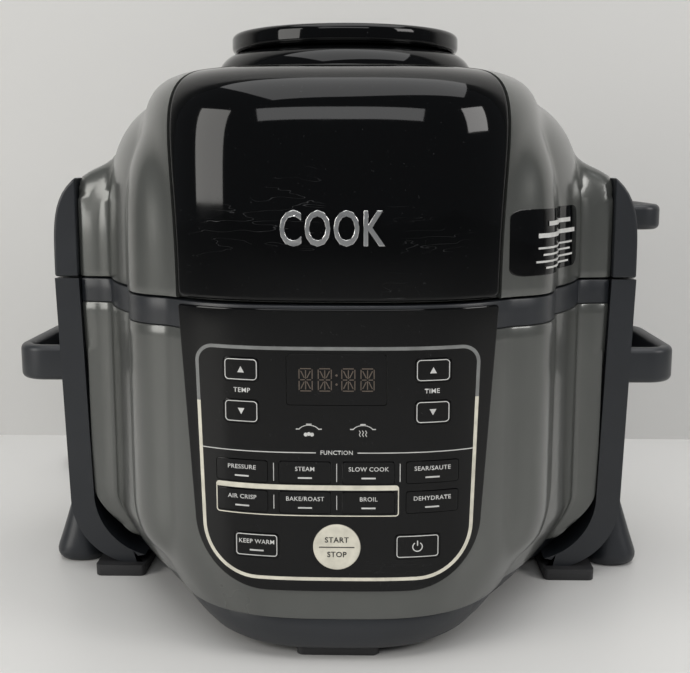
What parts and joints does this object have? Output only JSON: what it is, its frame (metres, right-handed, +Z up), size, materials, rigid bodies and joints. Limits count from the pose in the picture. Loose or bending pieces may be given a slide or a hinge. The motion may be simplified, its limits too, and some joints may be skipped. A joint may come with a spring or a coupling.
{
  "type": "electric pressure cooker",
  "caption": "Countertop electric pressure cooker with a hinged crisping lid, glossy front control panel, side handles, inner pot and convection fan",
  "frame": {"origin": "on the worktop, under the middle of the cooker's body", "axes": "+Z up, -Y out of the front with the control panel, +X to the right as seen from the front, on the lid handle's side"},
  "size_m": [0.4365, 0.4278, 0.3216],
  "materials": {
    "charcoal_paint": "satin",
    "black_plastic": "satin",
    "gloss_black": "gloss",
    "display_lens": "gloss",
    "cream_key": "satin",
    "steel": "brushed",
    "aluminium": "satin",
    "heater_sheath": "matte",
    "pot_coating": "satin",
    "circuit_board": "satin",
    "rubber": "matte",
    "cord_jacket": "satin",
    "smoke_plastic": "gloss"
  },
  "bodies": {
    "base": {"base_shell": "charcoal_paint", "bottom_rim": "black_plastic", "bottom_cover": "black_plastic", "base_screws": "steel", "feet": "rubber", "side_legs": "black_plastic", "side_frame_left": "black_plastic", "side_frame_right": "black_plastic", "handle_left": "black_plastic", "handle_right": "black_plastic", "top_band": "black_plastic", "heater_housing": "steel", "heating_plate": "aluminium", "cooking_pot": "pot_coating", "sensor_spring": "steel", "fascia": "gloss_black", "display_window": "display_lens", "control_board": "circuit_board", "power_board": "circuit_board", "hinge_bracket": "black_plastic", "hinge_pin": "steel", "strain_relief": "cord_jacket", "power_cord": "cord_jacket", "cord_coil": "cord_jacket", "mains_plug": "cord_jacket"},
    "lid": {"lid_shell": "charcoal_paint", "lid_front_panel": "gloss_black", "lid_cap_left": "black_plastic", "lid_cap_right": "black_plastic", "lid_collar": "gloss_black", "lid_ring": "gloss_black", "vent_cover": "black_plastic", "lid_handle": "black_plastic", "lid_liner": "steel", "heating_coil": "heater_sheath", "fan_guard": "steel", "fan_motor": "steel", "hinge_arm": "black_plastic"},
    "fan_rotor": {"motor_shaft": "steel", "hot_air_fan": "steel", "cooling_fan": "black_plastic"},
    "pot_sensor": {"pot_sensor": "steel"},
    "drip_cup": {"drip_cup": "smoke_plastic"},
    "temp_up_key": {"key_temp_up": "gloss_black"},
    "temp_down_key": {"key_temp_down": "gloss_black"},
    "time_up_key": {"key_time_up": "gloss_black"},
    "time_down_key": {"key_time_down": "gloss_black"},
    "pressure_key": {"key_pressure": "gloss_black"},
    "steam_key": {"key_steam": "gloss_black"},
    "slow_cook_key": {"key_slow_cook": "gloss_black"},
    "sear_key": {"key_sear": "gloss_black"},
    "air_crisp_key": {"key_air_crisp": "gloss_black"},
    "bake_key": {"key_bake": "gloss_black"},
    "broil_key": {"key_broil": "gloss_black"},
    "dehydrate_key": {"key_dehydrate": "gloss_black"},
    "keep_warm_key": {"key_keep_warm": "gloss_black"},
    "start_stop_key": {"key_start_stop": "cream_key"},
    "power_key": {"key_power": "gloss_black"}
  },
  "joints": [
    {"name": "lid_hinge", "type": "hinge", "parent": "base", "child": "lid", "pos_m": [0, 0.1486, 0.184], "axis": [-1, 0, 0], "range_deg": [0, 85]},
    {"name": "fan_spin", "type": "hinge", "parent": "lid", "child": "fan_rotor", "pos_m": [0, 0, 0.24], "axis": [0, 0, 1], "continuous": true},
    {"name": "sensor_press", "type": "slide", "parent": "base", "child": "pot_sensor", "axis": [0, 0, -1], "range_m": [0, 0.003], "stiffness_N_per_m": 400, "springref_m": -0.002, "deforming": ["sensor_spring"]},
    {"name": "drip_cup_slide", "type": "slide", "parent": "base", "child": "drip_cup", "axis": [0, 1, 0], "range_m": [0, 0.03]},
    {"name": "temp_up_press", "type": "slide", "parent": "base", "child": "temp_up_key", "axis": [0.2278, 0.9737, 0], "range_m": [0, 0.0008], "stiffness_N_per_m": 800},
    {"name": "temp_down_press", "type": "slide", "parent": "base", "child": "temp_down_key", "axis": [0.2278, 0.9737, 0], "range_m": [0, 0.0008], "stiffness_N_per_m": 800},
    {"name": "time_up_press", "type": "slide", "parent": "base", "child": "time_up_key", "axis": [-0.2278, 0.9737, 0], "range_m": [0, 0.0008], "stiffness_N_per_m": 800},
    {"name": "time_down_press", "type": "slide", "parent": "base", "child": "time_down_key", "axis": [-0.2278, 0.9737, 0], "range_m": [0, 0.0008], "stiffness_N_per_m": 800},
    {"name": "pressure_press", "type": "slide", "parent": "base", "child": "pressure_key", "axis": [0.2298, 0.9732, 0], "range_m": [0, 0.0008], "stiffness_N_per_m": 800},
    {"name": "steam_press", "type": "slide", "parent": "base", "child": "steam_key", "axis": [0.0255, 0.9997, 0], "range_m": [0, 0.0008], "stiffness_N_per_m": 800},
    {"name": "slow_cook_press", "type": "slide", "parent": "base", "child": "slow_cook_key", "axis": [-0.0255, 0.9997, 0], "range_m": [0, 0.0008], "stiffness_N_per_m": 800},
    {"name": "sear_press", "type": "slide", "parent": "base", "child": "sear_key", "axis": [-0.2298, 0.9732, 0], "range_m": [0, 0.0008], "stiffness_N_per_m": 800},
    {"name": "air_crisp_press", "type": "slide", "parent": "base", "child": "air_crisp_key", "axis": [0.2298, 0.9732, 0], "range_m": [0, 0.0008], "stiffness_N_per_m": 800},
    {"name": "bake_press", "type": "slide", "parent": "base", "child": "bake_key", "axis": [0.0255, 0.9997, 0], "range_m": [0, 0.0008], "stiffness_N_per_m": 800},
    {"name": "broil_press", "type": "slide", "parent": "base", "child": "broil_key", "axis": [-0.0255, 0.9997, 0], "range_m": [0, 0.0008], "stiffness_N_per_m": 800},
    {"name": "dehydrate_press", "type": "slide", "parent": "base", "child": "dehydrate_key", "axis": [-0.2298, 0.9732, 0], "range_m": [0, 0.0008], "stiffness_N_per_m": 800},
    {"name": "keep_warm_press", "type": "slide", "parent": "base", "child": "keep_warm_key", "axis": [0.1663, 0.9861, 0], "range_m": [0, 0.0008], "stiffness_N_per_m": 800},
    {"name": "start_stop_press", "type": "slide", "parent": "base", "child": "start_stop_key", "axis": [0, 1, 0], "range_m": [0, 0.0008], "stiffness_N_per_m": 800},
    {"name": "power_press", "type": "slide", "parent": "base", "child": "power_key", "axis": [-0.1663, 0.9861, 0], "range_m": [0, 0.0008], "stiffness_N_per_m": 800}
  ]
}
